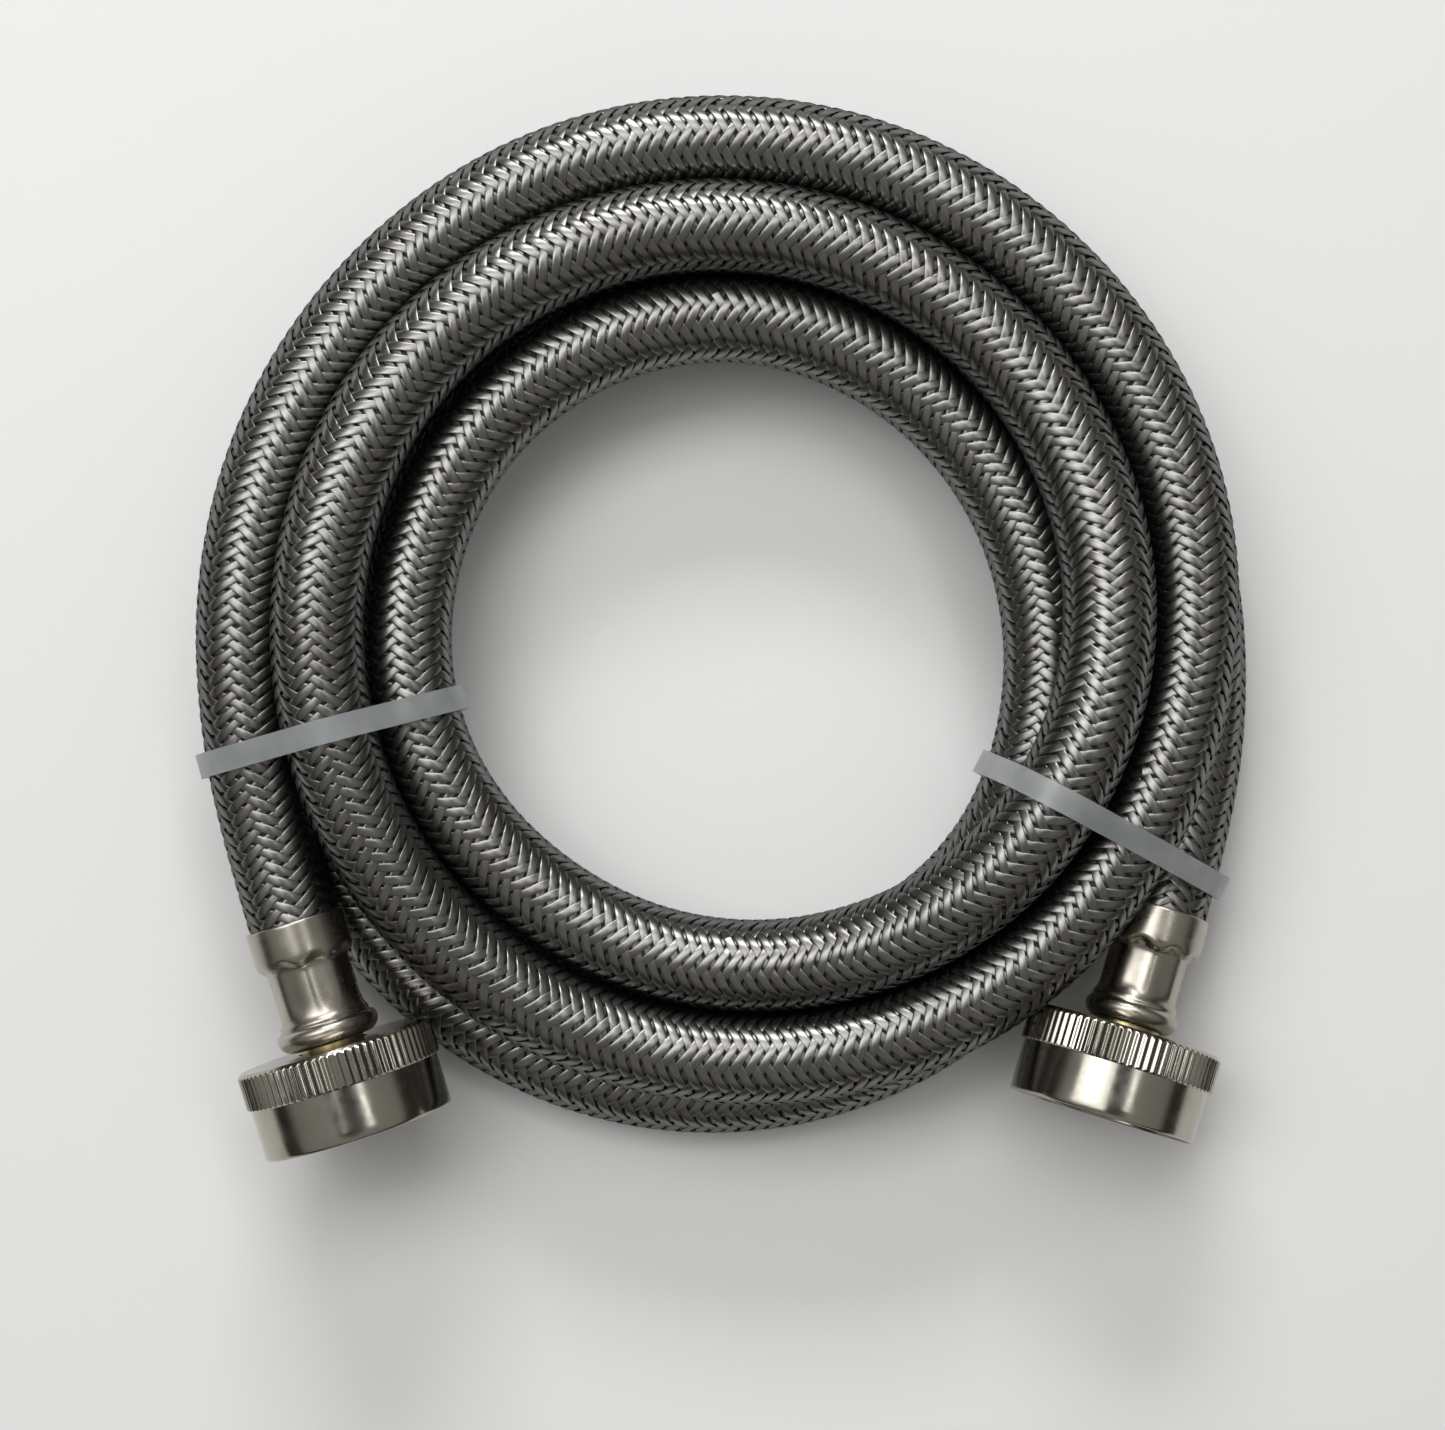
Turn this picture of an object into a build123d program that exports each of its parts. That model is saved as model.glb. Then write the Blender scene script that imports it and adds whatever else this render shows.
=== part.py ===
from build123d import *
import os
from math import tan, radians, cos, sin, pi, hypot

# Braided supply line, 1.8 m (6 ft) washing-machine fill hose, coiled flat and
# held with two cable ties. Millimetres, +Z up, the coil lies on Z = 0 and the
# origin is the middle of the footprint.

os.makedirs("parts", exist_ok=True)

# ---------------------------------------------------------------- dimensions
hose_r = 6.95            # outside of the wire braid
braid_wall = 0.35        # the woven wire as one sheet of the same weight
liner_r = 6.55           # outside of the rubber liner
liner_bore_r = 4.75      # water way, 9.5 mm
arc_share = 0.45         # share of a run used by the arc at its end

fitting_a = (-64.6865, -43.7418, 21.2)          # where the hose enters the left ferrule
axis_a = (0.298663, -0.954283, 0.012000)     # from the hose to the open end
fitting_b = (65.4564, -42.7004, 12.72)          # where the hose enters the right ferrule
axis_b = (-0.296584, -0.948880, 0.108000)

hose_in = 5.5            # full-size hose inside the ferrule skirt
crimp_from = 7.0         # the crimp starts here, all along the fitting axis
crimp_to = 13.2          # end of the hose
crimp_braid_r = 5.5      # braid outside under the crimp
crimp_liner_r = 5.1

skirt_r = 7.45
ferrule_end = {"left": 18.7, "right": 18.1}
stem_bore_r = 3.1
stem_tail_r = 4.2
stem_neck_r = 4.8
flange_at = 22.1         # stem flange the nut pulls on
flange_t = 1.5
flange_r = 11.8
washer_t = 2.6
washer_r = 12.1
washer_hole_r = 7.0

nut_len = 13.4
nut_flange_len = 5.6
nut_flange_r = 14.8
nut_body_r = 14.3
nut_wall = 2.0           # back wall that pulls on the stem flange
nut_hole_r = 5.3
nut_cavity_r = 12.9
thread_minor_r = 12.3    # 3/4-11.5 NH, 24.6 mm over the crests
thread_major_r = 13.65
knurl_teeth = 77         # straight knurl, on the flange only
knurl_depth = 0.35
nut_at = {"left": 19.3, "right": 19.0}       # back of the nut along the axis
neck_r = {"left": 6.25, "right": 6.05}       # crimp sizes of the two ferrules
bead_r = {"left": 7.65, "right": 7.15}

tie_w = 3.6
tie_t = 0.9
tie_gap_r = 7.05         # inside of the strap round each strand
coil_centre = (-0.67, -0.06)

# ------------------------------------------------------------------- route
# Control points of the hose: straight runs joined by tangent arcs, from the
# left ferrule, four and two thirds turns, to the right ferrule.
lead = 10.5              # straight hose in front of each ferrule, to the first corner
ROUTE = [
    tuple(Vector(*fitting_a) + Vector(*axis_a).normalized() * hose_in),
    tuple(Vector(*fitting_a) - Vector(*axis_a).normalized() * lead),
    (-71.552, -15.658, 22.9), (-72.352, 3.642, 23.8), (-68.852, 22.642, 22.9), (-60.652, 39.842, 21.6),
    (-48.352, 54.342, 20.7), (-32.652, 65.242, 20.6), (-14.652, 71.442, 20.5), (4.348, 72.542, 20.6),
    (23.048, 68.542, 20.7), (39.848, 59.742, 20.9), (53.748, 46.742, 21), (63.748, 30.742, 21.1),
    (68.848, 12.942, 21.3), (68.748, -5.458, 21.8961), (64.048, -23.058, 22.7373), (55.248, -38.758, 22.6516),
    (42.848, -51.358, 21.8), (27.748, -60.058, 21.1), (10.948, -64.458, 20.3), (-6.152, -64.258, 19.6),
    (-22.352, -59.858, 20), (-36.452, -51.558, 22), (-47.752, -40.158, 25), (-55.552, -26.258, 28),
    (-59.752, -10.958, 30.4), (-60.252, 4.842, 31.2), (-56.852, 20.242, 30.4), (-49.752, 34.342, 29.1),
    (-39.152, 45.942, 27.7), (-25.752, 54.242, 26.7), (-10.652, 58.742, 25.8), (5.048, 59.042, 25.2),
    (20.148, 55.142, 24.8), (33.648, 47.442, 24.9), (44.448, 36.642, 25.6), (51.948, 23.342, 26.9),
    (55.648, 8.742, 28.6), (55.248, -6.258, 30.2), (50.848, -20.258, 31.1), (43.148, -32.358, 30.3),
    (32.648, -41.758, 27.7), (20.348, -47.858, 24.4), (7.248, -50.658, 21.9), (-5.952, -49.958, 20.5),
    (-18.352, -46.058, 19.9), (-29.452, -39.258, 19.6), (-38.652, -30.258, 20.1), (-45.052, -19.458, 21),
    (-48.252, -7.358, 21.2), (-48.052, 5.242, 20.5), (-44.852, 17.442, 19.6), (-38.752, 28.242, 19.2),
    (-29.952, 36.942, 19), (-19.152, 43.142, 19), (-7.252, 46.342, 18.9), (4.948, 46.342, 18.6),
    (16.648, 43.042, 18.1), (27.348, 36.942, 17.5), (36.248, 28.642, 17.1), (42.948, 18.342, 17.1),
    (47.048, 6.442, 17.3), (48.248, -6.458, 17.7), (46.248, -19.758, 17.6), (41.048, -32.358, 15.8),
    (32.248, -42.858, 12.6), (20.448, -50.358, 9.5), (6.548, -54.358, 7.6), (-8.052, -54.458, 7),
    (-22.052, -50.758, 7), (-34.552, -43.458, 7), (-44.552, -33.158, 7.5), (-51.252, -20.458, 8.2),
    (-54.552, -6.558, 8.4), (-54.452, 7.842, 7.7), (-50.752, 21.642, 7.2), (-43.552, 33.942, 7),
    (-33.352, 43.742, 7), (-20.852, 50.642, 7), (-7.052, 54.242, 7), (7.348, 54.242, 7),
    (21.348, 50.742, 7), (34.148, 43.842, 7), (44.848, 33.842, 7), (52.648, 21.242, 7),
    (57.048, 6.742, 7.1), (58.248, -9.058, 7.8), (56.248, -25.458, 8.4), (50.248, -41.258, 8.1),
    (39.448, -54.858, 7.4), (24.448, -64.958, 7), (6.648, -70.358, 7), (-12.352, -70.358, 7),
    (-30.452, -64.658, 7), (-46.052, -54.458, 7.1), (-57.852, -40.958, 7), (-65.152, -24.558, 7.7),
    (-68.752, -6.558, 9.8), (-68.252, 11.642, 9.7), (-63.152, 28.842, 8.4), (-53.652, 44.042, 7.3),
    (-40.452, 56.142, 7), (-24.552, 64.542, 7), (-6.952, 68.542, 7), (11.048, 68.142, 7),
    (28.548, 63.142, 7), (44.348, 53.942, 7), (57.448, 40.742, 7), (66.948, 24.142, 7),
    (71.948, 5.142, 7.3), (72.248, -14.558, 8.6),
    tuple(Vector(*fitting_b) - Vector(*axis_b).normalized() * lead),
    tuple(Vector(*fitting_b) + Vector(*axis_b).normalized() * hose_in),
]


def vec(p):
    return Vector(*p)


def arc_radii(pts, share):
    out = []
    for a, b, c in zip(pts, pts[1:], pts[2:]):
        u, v = vec(b) - vec(a), vec(c) - vec(b)
        turn = radians(u.get_angle(v))
        out.append(share * min(u.length, v.length) / tan(turn / 2))
    return out


radii = arc_radii(ROUTE, arc_share)
print("arc radii mm:", [round(r, 1) for r in radii])
print("smallest arc radius %.1f mm" % min(radii))

start_plane = Plane(origin=ROUTE[0], z_dir=vec(ROUTE[1]) - vec(ROUTE[0]))

ends = {
    "left": (vec(fitting_a), vec(axis_a).normalized()),
    "right": (vec(fitting_b), vec(axis_b).normalized()),
}


def side_plane(side):
    """Plane through the fitting axis: local Y runs along it, local X is the radius."""
    origin, axis = ends[side]
    across = axis.cross(Vector(0, 0, 1)).normalized()
    return Plane(origin=origin, x_dir=across, z_dir=across.cross(axis))


def end_plane(side, t):
    """Plane across the fitting axis, t from the mouth of the ferrule."""
    origin, axis = ends[side]
    across = axis.cross(Vector(0, 0, 1)).normalized()
    return Plane(origin=origin + axis * t, x_dir=across, z_dir=axis)


def fitting_axis(side):
    origin, axis = ends[side]
    return Axis(tuple(origin), tuple(axis))


# -------------------------------------------------------- hose: braid, liner
with BuildPart() as braid_sleeve:
    with BuildLine() as braid_path:
        FilletPolyline(*ROUTE, radius=radii)
    with BuildSketch(start_plane):
        Circle(hose_r)
        Circle(hose_r - braid_wall, mode=Mode.SUBTRACT)
    sweep()
    for side in ("left", "right"):
        with BuildSketch(side_plane(side)) as braid_tail:
            with BuildLine():
                Polyline(
                    (hose_r - braid_wall, hose_in), (hose_r, hose_in),
                    (crimp_braid_r, crimp_from), (crimp_braid_r, crimp_to),
                    (crimp_braid_r - braid_wall, crimp_to),
                    (crimp_braid_r - braid_wall, crimp_from), close=True)
            make_face()
        revolve(axis=fitting_axis(side))
braid_sleeve.part.label = "braid_sleeve"
export_step(braid_sleeve.part, "parts/braid_sleeve.step")
hose_length = sum(e.length for e in braid_path.edges())
print("hose centreline %.1f mm, braid volume %.0f against %.0f mm3" % (
    hose_length, braid_sleeve.part.volume,
    pi * (hose_r ** 2 - (hose_r - braid_wall) ** 2) * hose_length))

with BuildPart() as hose_liner:
    with BuildLine() as liner_path:
        FilletPolyline(*ROUTE, radius=radii)
    with BuildSketch(start_plane):
        Circle(liner_r)
        Circle(liner_bore_r, mode=Mode.SUBTRACT)
    sweep()
    for side in ("left", "right"):
        with BuildSketch(side_plane(side)) as liner_tail:
            with BuildLine():
                Polyline(
                    (liner_bore_r, hose_in), (liner_r, hose_in),
                    (crimp_liner_r, crimp_from), (crimp_liner_r, crimp_to),
                    (stem_tail_r + 0.05, crimp_to), (stem_tail_r + 0.05, crimp_from),
                    close=True)
            make_face()
        revolve(axis=fitting_axis(side))
hose_liner.part.label = "hose_liner"
export_step(hose_liner.part, "parts/hose_liner.step")
print("liner volume %.0f against %.0f mm3" % (
    hose_liner.part.volume, pi * (liner_r ** 2 - liner_bore_r ** 2) * hose_length))


# ------------------------------------------------------------ end fittings
def toothed(radius, depth, teeth):
    pts = []
    for k in range(teeth):
        for share, r in ((0.0, radius - depth), (0.35, radius), (0.65, radius)):
            a = 2 * pi * (k + share) / teeth
            pts.append((r * cos(a), r * sin(a)))
    return pts


for side in ("left", "right"):
    neck, bead, end = neck_r[side], bead_r[side], ferrule_end[side]

    with BuildPart() as ferrule:
        with BuildSketch(side_plane(side)):
            with BuildLine():
                Polyline(
                    (hose_r, 0.15), (hose_r + 0.15, 0), (skirt_r - 0.1, 0), (skirt_r, 0.15),
                    (skirt_r, 5.2), (skirt_r - 0.3, 5.6), (neck + 0.25, 6.3), (neck, 6.9),
                    (neck, 7.1), (neck - 0.3, 7.4), (neck - 0.3, 12.7), (neck, 13.0),
                    (neck, end - 4.8), (neck + 0.35, end - 4.3), (bead - 0.35, end - 3.9),
                    (bead, end - 3.3),
                    (bead, end - 1.0), (bead - 0.35, end - 0.4), (bead - 1.0, end),
                    (stem_neck_r, end), (stem_neck_r, 13.3), (crimp_braid_r, 13.3),
                    (crimp_braid_r, crimp_from), (hose_r, hose_in), close=True)
            make_face()
        revolve(axis=fitting_axis(side))
        # eight flats left by the crimping jaws
        with BuildSketch(end_plane(side, 7.1)):
            RegularPolygon(radius=neck - 0.16, side_count=8, major_radius=False)
            Circle(neck, mode=Mode.INTERSECT)
            Circle(crimp_braid_r, mode=Mode.SUBTRACT)
        extrude(amount=5.9)
    ferrule.part.label = "ferrule_" + side
    export_step(ferrule.part, "parts/ferrule_" + side + ".step")

    with BuildPart() as stem:
        with BuildSketch(side_plane(side)):
            with BuildLine():
                Polyline(
                    (stem_bore_r, 1.0), (stem_tail_r - 0.6, 1.0), (stem_tail_r, 2.6),
                    (stem_tail_r - 0.25, 2.6), (stem_tail_r - 0.25, 3.2),
                    (stem_tail_r, 4.6), (stem_tail_r - 0.25, 4.6), (stem_tail_r - 0.25, 5.2),
                    (stem_tail_r, 7.2), (stem_tail_r, 13.3), (stem_neck_r, 13.3),
                    (stem_neck_r, flange_at), (flange_r - 0.3, flange_at),
                    (flange_r, flange_at + 0.3), (flange_r, flange_at + flange_t),
                    (stem_bore_r + 0.4, flange_at + flange_t),
                    (stem_bore_r, flange_at + flange_t - 0.4), close=True)
            make_face()
        revolve(axis=fitting_axis(side))
    stem.part.label = "barbed_stem_" + side
    export_step(stem.part, "parts/barbed_stem_" + side + ".step")

    wash_at = flange_at + flange_t + 0.03
    with BuildPart() as washer:
        with BuildSketch(end_plane(side, wash_at)):
            Circle(washer_r)
            Circle(washer_hole_r, mode=Mode.SUBTRACT)
        extrude(amount=washer_t)
        fillet(washer.edges().filter_by(GeomType.CIRCLE), radius=0.3)
    washer.part.label = "hose_washer_" + side
    export_step(washer.part, "parts/hose_washer_" + side + ".step")

    back = nut_at[side]
    with BuildPart() as nut:
        with BuildSketch(end_plane(side, back)):
            with BuildLine():
                Polyline(*toothed(nut_flange_r, knurl_depth, knurl_teeth), close=True)
            make_face()
        extrude(amount=nut_flange_len)
        with BuildSketch(end_plane(side, back + nut_flange_len)):
            Circle(nut_body_r)
        extrude(amount=nut_len - nut_flange_len)
        # everything outside the turned outline
        with BuildSketch(side_plane(side)):
            with BuildLine():
                b = back
                Polyline(
                    (0, b - 1), (0, b), (nut_flange_r - 0.6, b), (nut_flange_r, b + 0.6),
                    (nut_flange_r, b + nut_flange_len - 0.3),
                    (nut_flange_r - 0.3, b + nut_flange_len),
                    (nut_flange_r + 1, b + nut_flange_len + 0.01),
                    (nut_flange_r + 1, b + nut_len - 0.4), (nut_body_r, b + nut_len - 0.4),
                    (nut_body_r - 0.4, b + nut_len), (0, b + nut_len), (0, b + nut_len + 1),
                    (nut_flange_r + 2, b + nut_len + 1), (nut_flange_r + 2, b - 1), close=True)
            make_face()
        revolve(axis=fitting_axis(side), mode=Mode.SUBTRACT)
        # hole for the stem, room for flange and washer, thread
        with BuildSketch(side_plane(side)):
            with BuildLine():
                Polyline(
                    (0, b - 1), (nut_hole_r, b - 1), (nut_hole_r, b + nut_wall),
                    (nut_cavity_r, b + nut_wall), (nut_cavity_r, b + 6.9),
                    (thread_minor_r, b + 7.3), (thread_minor_r, b + nut_len - 0.7),
                    (thread_major_r, b + nut_len), (thread_major_r, b + nut_len + 1),
                    (0, b + nut_len + 1), close=True)
            make_face()
        revolve(axis=fitting_axis(side), mode=Mode.SUBTRACT)
    nut.part.label = "coupling_nut_" + side
    export_step(nut.part, "parts/coupling_nut_" + side + ".step")


# ------------------------------------------------------------- cable ties
# Strand centres (distance from the coil's centre, height) on the outline of
# the bundle, over the width of each strap.
TIES = {
    "left": (165.0, [(72.35, 22.68), (59.72, 29.89), (47.80, 21.13), (53.89, 8.32), (72.56, 22.53), (72.74, 22.38), (53.97, 8.26), (68.23, 8.31)]),
    "right": (27.6, [(54.35, 30.67), (51.26, 16.79), (62.86, 8.29), (77.37, 12.12), (77.01, 11.90), (67.78, 22.70), (54.60, 30.84), (50.80, 17.21), (62.22, 8.31), (76.61, 11.67)]),
}
# the head: middle on the strap's outside and the outward direction
HEADS = {"left": (76.7, 8.7, 0.952, -0.306), "right": (51.9, 6.1, -0.604, -0.797)}


def outline(circles, r, steps=720):
    """Convex outline round circles of one radius: support points by direction."""
    pts = []
    for k in range(steps):
        a = 2 * pi * k / steps
        cx, cz = max(circles, key=lambda c: c[0] * cos(a) + c[1] * sin(a))
        pts.append((cx, cz, a))
    runs = []
    for cx, cz, a in pts:
        if runs and runs[-1][0] == (cx, cz):
            runs[-1][2] = a
        else:
            runs.append([(cx, cz), a, a])
    if runs[0][0] == runs[-1][0]:
        runs[0][1] = runs[-1][1] - 2 * pi
        runs.pop()
    corners = []
    for i, (c, a0, a1) in enumerate(runs):
        prev, nxt = runs[i - 1][0], runs[(i + 1) % len(runs)][0]
        # exact direction square to the line between neighbours
        corners.append([c, prev, nxt])
    out = []
    for c, prev, nxt in corners:
        def square(p, q):
            dx, dz = q[0] - p[0], q[1] - p[1]
            n = hypot(dx, dz)
            return (dz / n, -dx / n)
        n0, n1 = square(prev, c), square(c, nxt)
        nm = (n0[0] + n1[0], n0[1] + n1[1])
        m = hypot(*nm)
        nm = (nm[0] / m, nm[1] / m)
        out.append(((c[0] + r * n0[0], c[1] + r * n0[1]),
                    (c[0] + r * nm[0], c[1] + r * nm[1]),
                    (c[0] + r * n1[0], c[1] + r * n1[1])))
    return out


def tie_loop(circles, r):
    arcs = outline(circles, r)
    for i, (p, m, q) in enumerate(arcs):
        ThreePointArc(p, m, q)
        Line(q, arcs[(i + 1) % len(arcs)][0])


for side, (angle, strands) in TIES.items():
    ca, sa = cos(radians(angle)), -sin(radians(angle))
    cut = Plane(origin=(coil_centre[0], coil_centre[1], 0), x_dir=(ca, sa, 0),
                z_dir=(sa, -ca, 0))
    hx, hz, nx, nz = HEADS[side]
    head_plane = Plane(origin=cut.from_local_coords((hx, hz, 0)),
                       x_dir=cut.z_dir,
                       z_dir=cut.x_dir * nx + Vector(0, 0, 1) * nz)
    with BuildPart() as cable_tie:
        with BuildSketch(cut):
            with BuildLine():
                tie_loop(strands, tie_gap_r + tie_t)
            make_face()
            with BuildLine():
                tie_loop(strands, tie_gap_r)
            make_face(mode=Mode.SUBTRACT)
        extrude(amount=tie_w / 2, both=True)
        with BuildSketch(head_plane.offset(-0.6)):
            RectangleRounded(5.4, 5.2, 0.9)
        extrude(amount=3.5)
        with BuildSketch(head_plane.offset(2.8)):
            with Locations((0, -0.6)):
                Rectangle(3.4, 1.0)
        extrude(amount=0.5)
    cable_tie.part.label = "cable_tie_" + side
    export_step(cable_tie.part, "parts/cable_tie_" + side + ".step")
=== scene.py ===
import bmesh
import bpy
import math
import numpy as np
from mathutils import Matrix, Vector


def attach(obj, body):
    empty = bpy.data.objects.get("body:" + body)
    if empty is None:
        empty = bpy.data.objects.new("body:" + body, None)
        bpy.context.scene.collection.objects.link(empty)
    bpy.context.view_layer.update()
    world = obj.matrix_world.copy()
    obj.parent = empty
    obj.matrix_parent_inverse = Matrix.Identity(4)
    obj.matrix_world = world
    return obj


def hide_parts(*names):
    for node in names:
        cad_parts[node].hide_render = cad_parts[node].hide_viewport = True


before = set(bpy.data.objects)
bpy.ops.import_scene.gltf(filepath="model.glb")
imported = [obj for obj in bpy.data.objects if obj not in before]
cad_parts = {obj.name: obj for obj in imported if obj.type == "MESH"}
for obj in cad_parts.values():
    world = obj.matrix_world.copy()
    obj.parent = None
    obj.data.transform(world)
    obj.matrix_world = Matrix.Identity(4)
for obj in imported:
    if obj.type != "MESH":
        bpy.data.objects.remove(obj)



# ------------------------------------------------------------------ numbers
HOSE_R = 0.0070
LEAD = 0.0245                 # one turn of a carrier along the hose
CARRIERS = 12                 # each way
STRAND_W = 0.00130
WIRES = 7
STEP_DEG = 10.0               # turn of a carrier between two cross-sections
MID_R = 0.00672
WAVE = 0.00015
SECTIONS = 12
NUT_BACK = {"left": 0.0193, "right": 0.0190}
NECK = {"left": 0.00625, "right": 0.00605}
BEAD = {"left": 0.00765, "right": 0.00715}
BEAD_END = {"left": 0.0187, "right": 0.0181}
TEETH = 77                    # straight knurl of the nut's flange
THREAD_PITCH = 0.0254 / 11.5
ENDS = {"left": ((-0.0646865, -0.0437418, 0.0212), (0.298663, -0.954283, 0.012)), "right": ((0.0654564, -0.0427004, 0.01272), (-0.296584, -0.94888, 0.108))}
ROUTE = [
    (-0.0630438, -0.0489903, 0.021266), (-0.0678225, -0.0337218, 0.021074), (-0.071552, -0.015658, 0.0229), (-0.072352, 0.003642, 0.0238),
    (-0.068852, 0.022642, 0.0229), (-0.060652, 0.039842, 0.0216), (-0.048352, 0.054342, 0.0207), (-0.032652, 0.065242, 0.0206),
    (-0.014652, 0.071442, 0.0205), (0.004348, 0.072542, 0.0206), (0.023048, 0.068542, 0.0207), (0.039848, 0.059742, 0.0209),
    (0.053748, 0.046742, 0.021), (0.063748, 0.030742, 0.0211), (0.068848, 0.012942, 0.0213), (0.068748, -0.005458, 0.0218961),
    (0.064048, -0.023058, 0.0227373), (0.055248, -0.038758, 0.0226516), (0.042848, -0.051358, 0.0218), (0.027748, -0.060058, 0.0211),
    (0.010948, -0.064458, 0.0203), (-0.006152, -0.064258, 0.0196), (-0.022352, -0.059858, 0.02), (-0.036452, -0.051558, 0.022),
    (-0.047752, -0.040158, 0.025), (-0.055552, -0.026258, 0.028), (-0.059752, -0.010958, 0.0304), (-0.060252, 0.004842, 0.0312),
    (-0.056852, 0.020242, 0.0304), (-0.049752, 0.034342, 0.0291), (-0.039152, 0.045942, 0.0277), (-0.025752, 0.054242, 0.0267),
    (-0.010652, 0.058742, 0.0258), (0.005048, 0.059042, 0.0252), (0.020148, 0.055142, 0.0248), (0.033648, 0.047442, 0.0249),
    (0.044448, 0.036642, 0.0256), (0.051948, 0.023342, 0.0269), (0.055648, 0.008742, 0.0286), (0.055248, -0.006258, 0.0302),
    (0.050848, -0.020258, 0.0311), (0.043148, -0.032358, 0.0303), (0.032648, -0.041758, 0.0277), (0.020348, -0.047858, 0.0244),
    (0.007248, -0.050658, 0.0219), (-0.005952, -0.049958, 0.0205), (-0.018352, -0.046058, 0.0199), (-0.029452, -0.039258, 0.0196),
    (-0.038652, -0.030258, 0.0201), (-0.045052, -0.019458, 0.021), (-0.048252, -0.007358, 0.0212), (-0.048052, 0.005242, 0.0205),
    (-0.044852, 0.017442, 0.0196), (-0.038752, 0.028242, 0.0192), (-0.029952, 0.036942, 0.019), (-0.019152, 0.043142, 0.019),
    (-0.007252, 0.046342, 0.0189), (0.004948, 0.046342, 0.0186), (0.016648, 0.043042, 0.0181), (0.027348, 0.036942, 0.0175),
    (0.036248, 0.028642, 0.0171), (0.042948, 0.018342, 0.0171), (0.047048, 0.006442, 0.0173), (0.048248, -0.006458, 0.0177),
    (0.046248, -0.019758, 0.0176), (0.041048, -0.032358, 0.0158), (0.032248, -0.042858, 0.0126), (0.020448, -0.050358, 0.0095),
    (0.006548, -0.054358, 0.0076), (-0.008052, -0.054458, 0.007), (-0.022052, -0.050758, 0.007), (-0.034552, -0.043458, 0.007),
    (-0.044552, -0.033158, 0.0075), (-0.051252, -0.020458, 0.0082), (-0.054552, -0.006558, 0.0084), (-0.054452, 0.007842, 0.0077),
    (-0.050752, 0.021642, 0.0072), (-0.043552, 0.033942, 0.007), (-0.033352, 0.043742, 0.007), (-0.020852, 0.050642, 0.007),
    (-0.007052, 0.054242, 0.007), (0.007348, 0.054242, 0.007), (0.021348, 0.050742, 0.007), (0.034148, 0.043842, 0.007),
    (0.044848, 0.033842, 0.007), (0.052648, 0.021242, 0.007), (0.057048, 0.006742, 0.0071), (0.058248, -0.009058, 0.0078),
    (0.056248, -0.025458, 0.0084), (0.050248, -0.041258, 0.0081), (0.039448, -0.054858, 0.0074), (0.024448, -0.064958, 0.007),
    (0.006648, -0.070358, 0.007), (-0.012352, -0.070358, 0.007), (-0.030452, -0.064658, 0.007), (-0.046052, -0.054458, 0.0071),
    (-0.057852, -0.040958, 0.007), (-0.065152, -0.024558, 0.0077), (-0.068752, -0.006558, 0.0098), (-0.068252, 0.011642, 0.0097),
    (-0.063152, 0.028842, 0.0084), (-0.053652, 0.044042, 0.0073), (-0.040452, 0.056142, 0.007), (-0.024552, 0.064542, 0.007),
    (-0.006952, 0.068542, 0.007), (0.011048, 0.068142, 0.007), (0.028548, 0.063142, 0.007), (0.044348, 0.053942, 0.007),
    (0.057448, 0.040742, 0.007), (0.066948, 0.024142, 0.007), (0.071948, 0.005142, 0.0073), (0.072248, -0.014558, 0.0086),
    (0.0685705, -0.0327372, 0.011586), (0.0638252, -0.0479192, 0.013314),
]


# ---------------------------------------------------------------- materials
def new_mat(name):
    m = bpy.data.materials.new(name)
    m.use_nodes = True
    m.node_tree.nodes.clear()
    out = m.node_tree.nodes.new("ShaderNodeOutputMaterial")
    bsdf = m.node_tree.nodes.new("ShaderNodeBsdfPrincipled")
    m.node_tree.links.new(bsdf.outputs[0], out.inputs[0])
    return m, m.node_tree, bsdf


def node(nt, kind, **values):
    n = nt.nodes.new(kind)
    for k, v in values.items():
        if k in n.inputs.keys():
            n.inputs[k].default_value = v
        else:
            setattr(n, k, v)
    return n


def ramp(nt, fac, stops):
    n = nt.nodes.new("ShaderNodeValToRGB")
    while len(n.color_ramp.elements) < len(stops):
        n.color_ramp.elements.new(0.5)
    for e, (pos, col) in zip(n.color_ramp.elements, stops):
        e.position = pos
        e.color = (*col, 1)
    nt.links.new(fac, n.inputs[0])
    return n.outputs[0]


def coords(nt):
    return nt.nodes.new("ShaderNodeTexCoord").outputs["Object"]


def noise(nt, vec, scale, detail=3.0, rough=0.55):
    n = node(nt, "ShaderNodeTexNoise", Scale=scale, Detail=detail, Roughness=rough)
    nt.links.new(vec, n.inputs["Vector"])
    return n.outputs["Fac"]


def maprange(nt, fac, a, b, c, d):
    n = nt.nodes.new("ShaderNodeMapRange")
    nt.links.new(fac, n.inputs[0])
    for i, v in zip((1, 2, 3, 4), (a, b, c, d)):
        n.inputs[i].default_value = v
    return n.outputs[0]


def mix(nt, fac, a, b, blend="MIX"):
    n = nt.nodes.new("ShaderNodeMix")
    n.data_type = "RGBA"
    n.blend_type = blend
    if isinstance(fac, float):
        n.inputs[0].default_value = fac
    else:
        nt.links.new(fac, n.inputs[0])
    for i, v in ((6, a), (7, b)):
        if isinstance(v, tuple):
            n.inputs[i].default_value = (*v, 1)
        else:
            nt.links.new(v, n.inputs[i])
    return n.outputs[2]


def bump(nt, height, strength, distance, bsdf):
    n = node(nt, "ShaderNodeBump", Strength=strength, Distance=distance)
    nt.links.new(height, n.inputs["Height"])
    nt.links.new(n.outputs[0], bsdf.inputs["Normal"])
    return n


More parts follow.
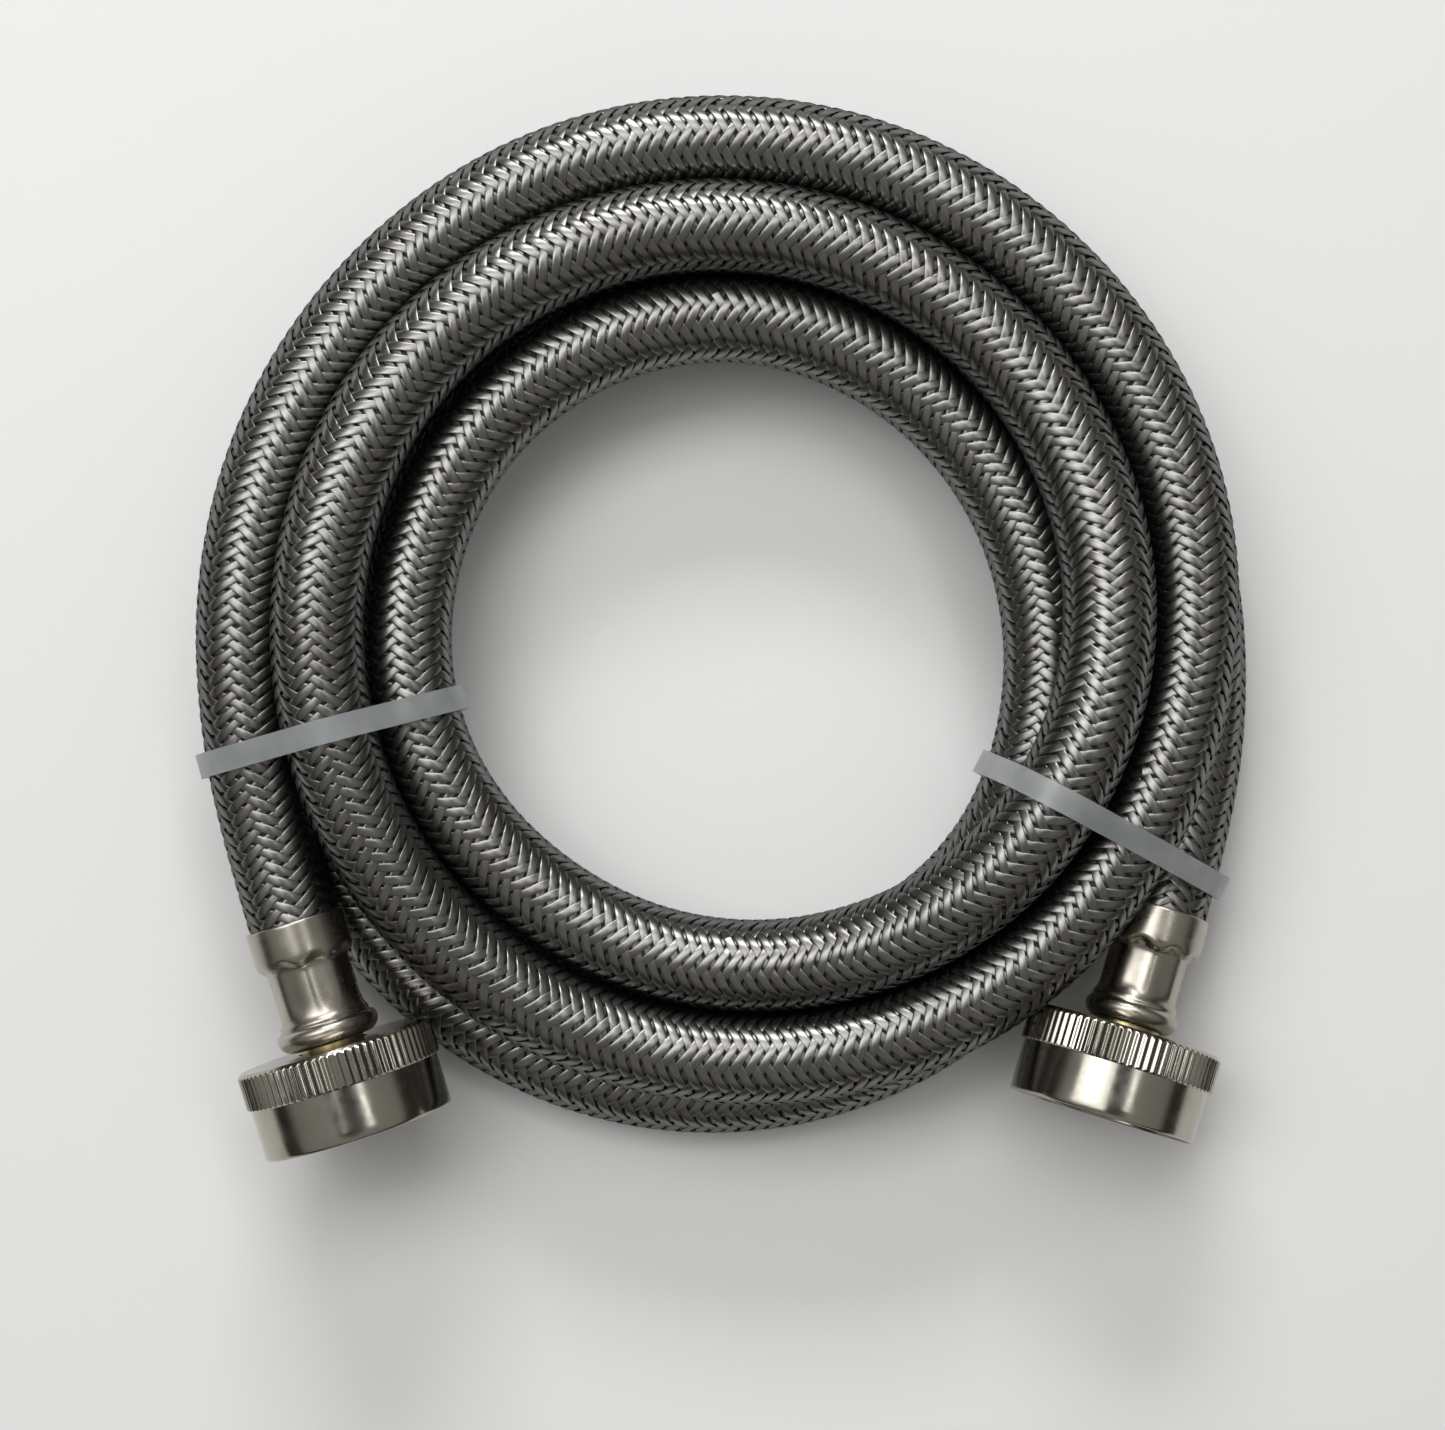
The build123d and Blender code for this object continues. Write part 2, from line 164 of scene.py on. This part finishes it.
def braid_material():
    m, nt, b = new_mat("braid_wire")
    co = coords(nt)
    painted_recess_shade = node(nt, "ShaderNodeAttribute", attribute_name="painted_recess_shade").outputs["Fac"]
    tone = node(nt, "ShaderNodeAttribute", attribute_name="wire_tone").outputs["Fac"]
    # painted shade: the braid's base colour is darkest on the sunk under-strands, in the valleys between wires and at
    # strand edges, and lightest on the raised crests
    base = ramp(nt, painted_recess_shade, [(0.0, (0.13, 0.128, 0.122)), (0.35, (0.18, 0.178, 0.171)),
                             (0.7, (0.24, 0.238, 0.230)), (1.0, (0.29, 0.288, 0.280))])
    shade = ramp(nt, tone, [(0.0, (0.90, 0.89, 0.87)), (1.0, (1.0, 1.0, 1.0))])
    col = mix(nt, 1.0, base, shade, "MULTIPLY")
    grime = noise(nt, co, 60.0, 4.0)
    col2 = mix(nt, maprange(nt, grime, 0.45, 0.75, 0.0, 0.25), col, (0.13, 0.115, 0.09))
    nt.links.new(col2, b.inputs["Base Color"])
    b.inputs["Metallic"].default_value = 1.0
    b.inputs["Specular Tint"].default_value = (0.45, 0.46, 0.48, 1)
    fine = noise(nt, co, 2500.0, 2.0)
    nt.links.new(maprange(nt, fine, 0.3, 0.7, 0.28, 0.34), b.inputs["Roughness"])
    return m


def core_material():
    m, nt, b = new_mat("liner_rubber")
    co = coords(nt)
    nt.links.new(ramp(nt, noise(nt, co, 300.0), [(0.3, (0.010, 0.009, 0.008)), (0.7, (0.026, 0.023, 0.019))]),
                 b.inputs["Base Color"])
    nt.links.new(maprange(nt, noise(nt, co, 900.0), 0.3, 0.7, 0.55, 0.8), b.inputs["Roughness"])
    return m


def turned_metal(name, dark, light, rough, axis_side=None, metallic=1.0, spots=0.0):
    m, nt, b = new_mat(name)
    co = coords(nt)
    big = noise(nt, co, 140.0, 4.0)
    col = ramp(nt, big, [(0.3, dark), (0.7, light)])
    if spots:
        pits = noise(nt, co, 1400.0, 3.0, 0.7)
        col = mix(nt, maprange(nt, pits, 0.56, 0.72, 0.0, spots), col, tuple(0.45 * x for x in dark))
    nt.links.new(col, b.inputs["Base Color"])
    b.inputs["Metallic"].default_value = metallic
    nt.links.new(maprange(nt, noise(nt, co, 500.0, 3.0), 0.3, 0.7, rough - 0.03, rough + 0.05),
                 b.inputs["Roughness"])
    bump(nt, noise(nt, co, 1100.0, 2.0), 0.05, 0.00003, b)
    return m


def rubber_material():
    m, nt, b = new_mat("washer_rubber")
    co = coords(nt)
    nt.links.new(ramp(nt, noise(nt, co, 400.0), [(0.3, (0.012, 0.012, 0.012)), (0.7, (0.035, 0.034, 0.032))]),
                 b.inputs["Base Color"])
    b.inputs["Roughness"].default_value = 0.62
    bump(nt, noise(nt, co, 2500.0), 0.15, 0.00006, b)
    return m


def nylon_material():
    m, nt, b = new_mat("tie_nylon")
    co = coords(nt)
    nt.links.new(ramp(nt, noise(nt, co, 220.0), [(0.3, (0.56, 0.595, 0.61)), (0.7, (0.72, 0.74, 0.74))]),
                 b.inputs["Base Color"])
    b.inputs["Roughness"].default_value = 0.34
    b.inputs["IOR"].default_value = 1.53
    b.inputs["Transmission Weight"].default_value = 0.62
    b.inputs["Subsurface Weight"].default_value = 0.3
    b.inputs["Subsurface Radius"].default_value = (0.0012, 0.0012, 0.0012)
    bump(nt, noise(nt, co, 1500.0), 0.08, 0.00005, b)
    return m


MATS = {
    "braid_wire": braid_material(),
    "liner_rubber": core_material(),
    "ferrule_steel": turned_metal("ferrule_steel", (0.37, 0.345, 0.295), (0.46, 0.435, 0.38), 0.28, spots=0.12),
    "stem_brass": turned_metal("stem_brass", (0.42, 0.33, 0.17), (0.55, 0.45, 0.26), 0.32),
    "washer_rubber": rubber_material(),
    "nut_nickel": turned_metal("nut_nickel", (0.40, 0.38, 0.325), (0.48, 0.46, 0.40), 0.17, spots=0.15),
    "tie_nylon": nylon_material(),
}
SLOT = {
    "ferrule_left": "ferrule_steel", "ferrule_right": "ferrule_steel",
    "barbed_stem_left": "stem_brass", "barbed_stem_right": "stem_brass",
    "hose_washer_left": "washer_rubber", "hose_washer_right": "washer_rubber",
    "coupling_nut_left": "nut_nickel", "coupling_nut_right": "nut_nickel",
    "cable_tie_left": "tie_nylon", "cable_tie_right": "tie_nylon",
}
for name, slot in SLOT.items():
    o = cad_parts[name]
    o.data.materials.clear()
    o.data.materials.append(MATS[slot])

# ---------------------------------------------------------- turned pieces
def turned_mesh(name, side, profile, segs, shape=None, sharp=32.0):
    """Closed profile of (t, r) points turned round the fitting's axis, in metres."""
    origin, axis = Vector(ENDS[side][0]), Vector(ENDS[side][1]).normalized()
    e1 = axis.cross(Vector((0, 0, 1))).normalized()
    e2 = axis.cross(e1)
    t = np.array([p[0] for p in profile])[:, None]
    r = np.array([p[1] for p in profile])[:, None]
    a = (np.arange(segs) * 2 * math.pi / segs)[None, :]
    t = np.broadcast_to(t, (len(profile), segs)).copy()
    r = np.broadcast_to(r, (len(profile), segs)).copy()
    if shape:
        t, r = shape(t, r, np.broadcast_to(a, t.shape))
    o, x, e1, e2 = (np.array(v[:]) for v in (origin, axis, e1, e2))
    pts = (o + t[..., None] * x + (r * np.cos(a))[..., None] * e1 + (r * np.sin(a))[..., None] * e2)
    rows = len(profile)
    i, j = np.meshgrid(np.arange(rows), np.arange(segs), indexing="ij")
    i2, j2 = (i + 1) % rows, (j + 1) % segs
    f = np.stack([i * segs + j, i * segs + j2, i2 * segs + j2, i2 * segs + j], -1).reshape(-1, 4)
    me = bpy.data.meshes.new(name)
    me.from_pydata(pts.reshape(-1, 3).tolist(), [], f.tolist())
    me.update()
    bm = bmesh.new()
    bm.from_mesh(me)
    bmesh.ops.recalc_face_normals(bm, faces=bm.faces)
    bm.to_mesh(me)
    bm.free()
    me.polygons.foreach_set("use_smooth", np.ones(len(me.polygons), dtype=bool))
    me.set_sharp_from_angle(angle=math.radians(sharp))
    ob = bpy.data.objects.new(name, me)
    bpy.context.scene.collection.objects.link(ob)
    return ob


def rows_between(p, q, n):
    return [(p[0] + (q[0] - p[0]) * k / n, p[1] + (q[1] - p[1]) * k / n) for k in range(n)]


def mm(points):
    return [(x / 1000, y / 1000) for x, y in points]


def nut_mesh(side):
    b = NUT_BACK[side] * 1000
    prof = []
    prof += rows_between((b, 5.3), (b, 14.3), 4)
    prof += rows_between((b, 14.3), (b + 0.7, 14.8), 6)
    prof += rows_between((b + 0.7, 14.8), (b + 5.3, 14.8), 4)
    prof += rows_between((b + 5.3, 14.8), (b + 5.6, 14.5), 3)
    prof += rows_between((b + 5.6, 14.5), (b + 5.65, 14.3), 1)
    prof += rows_between((b + 5.65, 14.3), (b + 5.9, 14.3), 1)
    prof += rows_between((b + 5.9, 14.3), (b + 12.95, 14.3), 6)
    prof += [(b + 12.95, 14.3), (b + 13.15, 14.24), (b + 13.33, 14.1), (b + 13.4, 13.9)]
    prof += rows_between((b + 13.4, 13.62), (b + 7.0, 13.62), 46)      # cut by the thread
    prof += [(b + 7.0, 12.9), (b + 2.3, 12.9), (b + 2.05, 12.8), (b + 2.0, 12.5), (b + 2.0, 5.5)]
    prof = mm(prof)
    flank = 0.00027

    def shape(t, r, a):
        # rounded grooves along the axis, on everything outside their floor
        knurl = 0.0148 - flank * (0.5 - 0.5 * np.cos(a * TEETH))
        back = b / 1000
        flange = (t > back - 1e-6) & (t < back + 0.00562) & (r > 0.0139)
        r = np.where(flange, np.minimum(r, knurl), r)
        # right-hand female thread, run out at the open end
        wall = (r > 0.0135) & (r < 0.0138) & (t < back + 0.01341) & (t > back + 0.0069)
        p = (t / THREAD_PITCH - a / (2 * math.pi)) % 1.0
        ridge = np.clip(1.35 * (1 - np.abs(2 * p - 1)) - 0.175, 0, 1)
        fade = np.clip((back + 0.0133 - t) / 0.0008, 0, 1)
        r = np.where(wall, 0.01362 - 0.00132 * ridge * fade, r)
        return t, r

    return turned_mesh("nut_knurled_" + side, side, prof, TEETH * 8, shape, 24.0)


def ferrule_mesh(side):
    neck, bead = NECK[side] * 1000, BEAD[side] * 1000
    prof = [(0.15, 6.98), (0.0, 7.12), (0.0, 7.3), (0.06, 7.4), (0.2, 7.45)]
    prof += rows_between((0.5, 7.45), (4.7, 7.45), 6)
    prof += [(4.7, 7.45), (5.0, 7.43), (5.3, 7.34), (5.6, 7.16), (5.9, 6.9), (6.2, neck + 0.32),
             (6.5, neck + 0.14), (6.8, neck + 0.05), (7.1, neck)]
    prof += rows_between((7.5, neck), (12.9, neck), 8)
    e = BEAD_END[side] * 1000
    prof += [(12.9, neck), (e - 4.8, neck + 0.03), (e - 4.4, neck + 0.14), (e - 4.05, neck + 0.32),
             (e - 3.75, neck + 0.48), (e - 3.5, neck + 0.52), (e - 3.32, neck + 0.46), (e - 3.15, neck + 0.50),
             (e - 2.95, bead - 0.50), (e - 2.7, bead - 0.22), (e - 2.3, bead - 0.04), (e - 1.9, bead),
             (e - 1.5, bead - 0.05), (e - 1.1, bead - 0.2), (e - 0.7, bead - 0.46), (e - 0.35, bead - 0.8),
             (e - 0.1, bead - 1.15), (e, bead - 1.5), (e, 4.85), (13.4, 4.85), (13.35, 5.5),
             (7.0, 5.5), (5.6, 6.95)]
    prof = mm(prof)

    def shape(t, r, a):
        outer = r > 0.0056
        u = (a * 8 / (2 * math.pi)) % 1.0
        poly = (neck - 0.16) / 1000 - 0.00011 * np.cos((u - 0.5) * 2 * math.pi) + 0.00003 * np.cos(a * 3)
        mid = np.clip((t - 0.0062) / 0.0010, 0, 1) * np.clip((0.0136 - t) / 0.0010, 0, 1)
        band = outer & (t > 0.0062) & (t < 0.0136)
        r = np.where(band, r + (np.minimum(r, poly) - r) * mid, r)
        # the jaws bite a little further into the skirt at the middle of each flat
        bite = 0.00045 * np.cos((u - 0.5) * 2 * math.pi)
        near = np.clip(1 - np.abs(t - 0.0058) / 0.0016, 0, 1)
        t = np.where(outer & (t > 0.0044) & (t < 0.0074), t - bite * near, t)
        return t, r

    return turned_mesh("ferrule_crimped_" + side, side, prof, 192, shape, 40.0)


# ------------------------------------------------------------ hose route
def route_curve(name, depth):
    cu = bpy.data.curves.new(name, "CURVE")
    cu.dimensions = "3D"
    sp = cu.splines.new("NURBS")
    sp.points.add(len(ROUTE) - 1)
    for q, p in zip(sp.points, ROUTE):
        q.co = (*p, 1.0)
    sp.order_u = 3
    sp.use_endpoint_u = True
    sp.resolution_u = 12
    cu.resolution_u = 12
    cu.bevel_depth = depth
    cu.bevel_resolution = 6
    ob = bpy.data.objects.new(name, cu)
    bpy.context.scene.collection.objects.link(ob)
    return ob


guide = route_curve("hose_guide", 0.0)
bpy.context.view_layer.update()
guide_mesh = bpy.data.meshes.new_from_object(guide.evaluated_get(bpy.context.evaluated_depsgraph_get()))
line = np.array([v.co[:] for v in guide_mesh.vertices])
bpy.data.objects.remove(guide)
bpy.data.meshes.remove(guide_mesh)
seg = np.linalg.norm(np.diff(line, axis=0), axis=1)
keep = np.r_[True, seg > 1e-7]
line = line[keep]
seg = np.linalg.norm(np.diff(line, axis=0), axis=1)
arc = np.r_[0.0, np.cumsum(seg)]
LENGTH = float(arc[-1])
print("hose centreline", LENGTH, "points", len(line))

tang = np.gradient(line, arc, axis=0)
tang /= np.linalg.norm(tang, axis=1)[:, None]
norm = np.zeros_like(line)
first = np.cross(tang[0], (0, 0, 1.0))
norm[0] = first / np.linalg.norm(first)
for k in range(1, len(line)):
    v = norm[k - 1] - tang[k] * np.dot(norm[k - 1], tang[k])
    norm[k] = v / np.linalg.norm(v)


def at(s):
    """Centre, tangent and the two cross directions at distances s along the hose."""
    c = np.stack([np.interp(s, arc, line[:, a]) for a in range(3)], -1)
    t = np.stack([np.interp(s, arc, tang[:, a]) for a in range(3)], -1)
    n = np.stack([np.interp(s, arc, norm[:, a]) for a in range(3)], -1)
    t /= np.linalg.norm(t, axis=-1, keepdims=True)
    n -= t * np.sum(n * t, -1, keepdims=True)
    n /= np.linalg.norm(n, axis=-1, keepdims=True)
    return c, t, n, np.cross(t, n)


# ---------------------------------------------------------- braided strands
rng = np.random.default_rng(7)
per_turn = int(round(360 / STEP_DEG))
total = int(LENGTH / LEAD * per_turn)
cols = 2 * WIRES + 1
across = np.linspace(-1, 1, cols)
bumps = np.where(np.arange(cols) % 2 == 0, -1.0, 1.0)


def strand_points(direction, index, k0, k1):
    """Rows of points across one strand, from sample k0 to k1, with a painted-shade value for each point."""
    k = np.arange(k0, k1 + 1)
    alpha = np.radians(k * STEP_DEG)
    s = np.clip(k * (LEAD / per_turn), 0, LENGTH)
    c, t, n, b = at(s)
    jitter = 0.035 * np.sin(s * 410.0 + index * 1.9 + direction)
    phi = direction * alpha + math.radians(30.0 * index) + jitter
    m = np.degrees(alpha) / 15.0
    if direction > 0:
        phase = 0.5 if index % 2 == 0 else 2.5
    else:
        phase = 1.5 if index % 2 == 0 else 3.5
    wave = np.cos(math.pi / 2 * (m - phase))
    lift = np.tanh(0.8 * wave) / math.tanh(0.8)
    radial = n * np.cos(phi)[:, None] + b * np.sin(phi)[:, None]
    round_ = -n * np.sin(phi)[:, None] + b * np.cos(phi)[:, None]
    lean = math.atan2(2 * math.pi * MID_R, LEAD)
    along = t * math.cos(lean) + round_ * (direction * math.sin(lean))
    side = np.cross(radial, along)
    side /= np.linalg.norm(side, axis=1)[:, None]
    width = STRAND_W * (1.0 + 0.035 * np.sin(s * 730.0 + index * 2.7 + 3 * direction))
    w = across[None, :] * (width / 2)[:, None]
    wires = np.where(bumps > 0, 0.000010, -0.000008)[None, :]
    droop = -0.00004 * across[None, :] ** 2 - 0.00005 * across[None, :] ** 6
    tw = 0.00002 * np.sin(s * 260.0 + index)[:, None] * across[None, :]
    r = MID_R + WAVE * lift[:, None] + wires + droop + tw
    # a point to the side of the strand's middle stays on the round of the hose
    ang = w / MID_R
    pts = (c[:, None, :]
           + radial[:, None, :] * (r * np.cos(ang * math.sin(math.pi / 2 - lean) ))[:, :, None]
           + side[:, None, :] * w[:, :, None])
    # keep the cylinder's curvature across the width
    rr = w ** 2 * (math.cos(lean) ** 2) / (2 * MID_R)
    pts -= radial[:, None, :] * (rr - (r - r * np.cos(ang * math.sin(math.pi / 2 - lean))))[:, :, None]
    # painted shade per point: low on the sunk under-strands, between wires and at the strand edges, high on the raised
    # crests; the material turns it into darker or lighter base colour
    painted_recess_shade = np.clip(0.55 + 0.35 * lift[:, None] + 0.06 * np.where(bumps > 0, 1.0, -1.0)[None, :]
                     - 0.20 * np.abs(across[None, :]) ** 8, 0, 1)
    return pts, painted_recess_shade


def make_section(number, k0, k1):
    verts, faces, painted_recess_shade, tone = [], [], [], []
    base = 0
    for direction in (1, -1):
        for index in range(CARRIERS):
            pts, rel = strand_points(direction, index, k0, k1)
            rows = pts.shape[0]
            if direction < 0:
                pts = pts[:, ::-1]
                rel = rel[:, ::-1]
            verts.append(pts.reshape(-1, 3))
            painted_recess_shade.append(rel.reshape(-1))
            wire_tone = np.random.default_rng(100 * index + (7 if direction > 0 else 55)).uniform(0, 1, WIRES)
            col_tone = np.array([wire_tone[min(WIRES - 1, c // 2)] for c in range(cols)])
            tone.append(np.tile(col_tone, rows))
            i = np.arange(rows - 1)[:, None] * cols + np.arange(cols - 1)[None, :] + base
            f = np.stack([i, i + 1, i + 1 + cols, i + cols], -1).reshape(-1, 4)
            faces.append(f)
            base += rows * cols
    v = np.concatenate(verts)
    f = np.concatenate(faces)
    me = bpy.data.meshes.new(f"braid_wires_{number:02d}")
    me.vertices.add(len(v))
    me.vertices.foreach_set("co", v.astype(np.float32).ravel())
    me.loops.add(f.size)
    me.loops.foreach_set("vertex_index", f.astype(np.int32).ravel())
    me.polygons.add(len(f))
    me.polygons.foreach_set("loop_start", (np.arange(len(f)) * 4).astype(np.int32))
    me.polygons.foreach_set("use_smooth", np.ones(len(f), dtype=bool))
    me.update(calc_edges=True)
    # the per-point painted shade and the random wire tone go to the material as point attributes
    for name, data in (("painted_recess_shade", painted_recess_shade), ("wire_tone", tone)):
        at_ = me.attributes.new(name, "FLOAT", "POINT")
        at_.data.foreach_set("value", np.concatenate(data).astype(np.float32))
    me.materials.append(MATS["braid_wire"])
    ob = bpy.data.objects.new(me.name, me)
    bpy.context.scene.collection.objects.link(ob)
    return ob


core = route_curve("liner_tube", 0.00632)
core.data.materials.append(MATS["liner_rubber"])
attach(core, "hose")
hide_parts("hose_liner")

for side in ("left", "right"):
    piece = nut_mesh(side)
    piece.data.materials.append(MATS["nut_nickel"])
    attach(piece, "nut_" + side)
    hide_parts("coupling_nut_" + side)
    piece = ferrule_mesh(side)
    piece.data.materials.append(MATS["ferrule_steel"])
    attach(piece, "hose")
    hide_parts("ferrule_" + side)

cuts = np.linspace(0, total, SECTIONS + 1).astype(int)
for number in range(SECTIONS):
    piece = make_section(number + 1, cuts[number], cuts[number + 1])
    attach(piece, "hose")
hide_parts("braid_sleeve")

# --------------------------------------------------------------- the studio
me = bpy.data.meshes.new("floor")
me.from_pydata([(-1.5, -1.5, 0), (1.5, -1.5, 0), (1.5, 1.5, 0), (-1.5, 1.5, 0)], [], [(0, 1, 2, 3)])
floor = bpy.data.objects.new("floor", me)
bpy.context.scene.collection.objects.link(floor)
fm, fnt, fb = new_mat("floor_paper")
fnt.links.new(ramp(fnt, noise(fnt, coords(fnt), 3.0), [(0.3, (0.88, 0.88, 0.88)), (0.7, (0.91, 0.91, 0.91))]),
              fb.inputs["Base Color"])
fb.inputs["Roughness"].default_value = 0.9
me.materials.append(fm)


def area(name, direction, distance, size_x, size_y, power, color=(1, 1, 1)):
    la = bpy.data.lights.new(name, "AREA")
    la.shape = "RECTANGLE"
    la.size, la.size_y = size_x, size_y
    la.energy = power
    la.color = color
    ob = bpy.data.objects.new(name, la)
    d = Vector(direction).normalized()
    ob.location = d * distance
    ob.rotation_euler = (-d).to_track_quat("-Z", "Y").to_euler()
    bpy.context.scene.collection.objects.link(ob)
    return ob


def toward(x_deg, y_deg):
    return (math.tan(math.radians(x_deg)), math.tan(math.radians(y_deg)), 1.0)


area("key", toward(-8, 24), 1.2, 1.0, 0.42, 4.6)
area("back", toward(-10, 57), 1.3, 0.62, 0.28, 7.5)
area("side", toward(18, 9), 1.3, 0.58, 0.15, 0.6)
area("window", toward(-24, 8), 1.2, 0.40, 0.90, 2.3)

world = bpy.data.worlds.new("studio")
bpy.context.scene.world = world
world.use_nodes = True
wnt = world.node_tree
bg = wnt.nodes["Background"]
# a dim room: dark straight above where the stand is, paler ceiling, dark walls
wco = wnt.nodes.new("ShaderNodeTexCoord").outputs["Generated"]
wsep = wnt.nodes.new("ShaderNodeSeparateXYZ")
wnt.links.new(wco, wsep.inputs[0])
wnt.links.new(ramp(wnt, wsep.outputs[2], [(0.0, (0.030, 0.027, 0.024)), (0.30, (0.035, 0.031, 0.028)),
                                          (0.46, (0.25, 0.245, 0.23)), (0.940, (0.31, 0.305, 0.29)),
                                          (0.968, (0.06, 0.06, 0.06)), (1.0, (0.05, 0.05, 0.05))]),
              bg.inputs[0])
bg.inputs[1].default_value = 1.0

cam = bpy.data.cameras.new("camera")
cam.sensor_width = 36.0
cam.lens = 75.24
cam.clip_start = 0.01
camera = bpy.data.objects.new("camera", cam)
camera.location = (-0.001052, -0.013158, 0.47)
camera.rotation_euler = (0, 0, 0)
bpy.context.scene.collection.objects.link(camera)
bpy.context.scene.camera = camera
bpy.context.scene.view_settings.view_transform = "Standard"
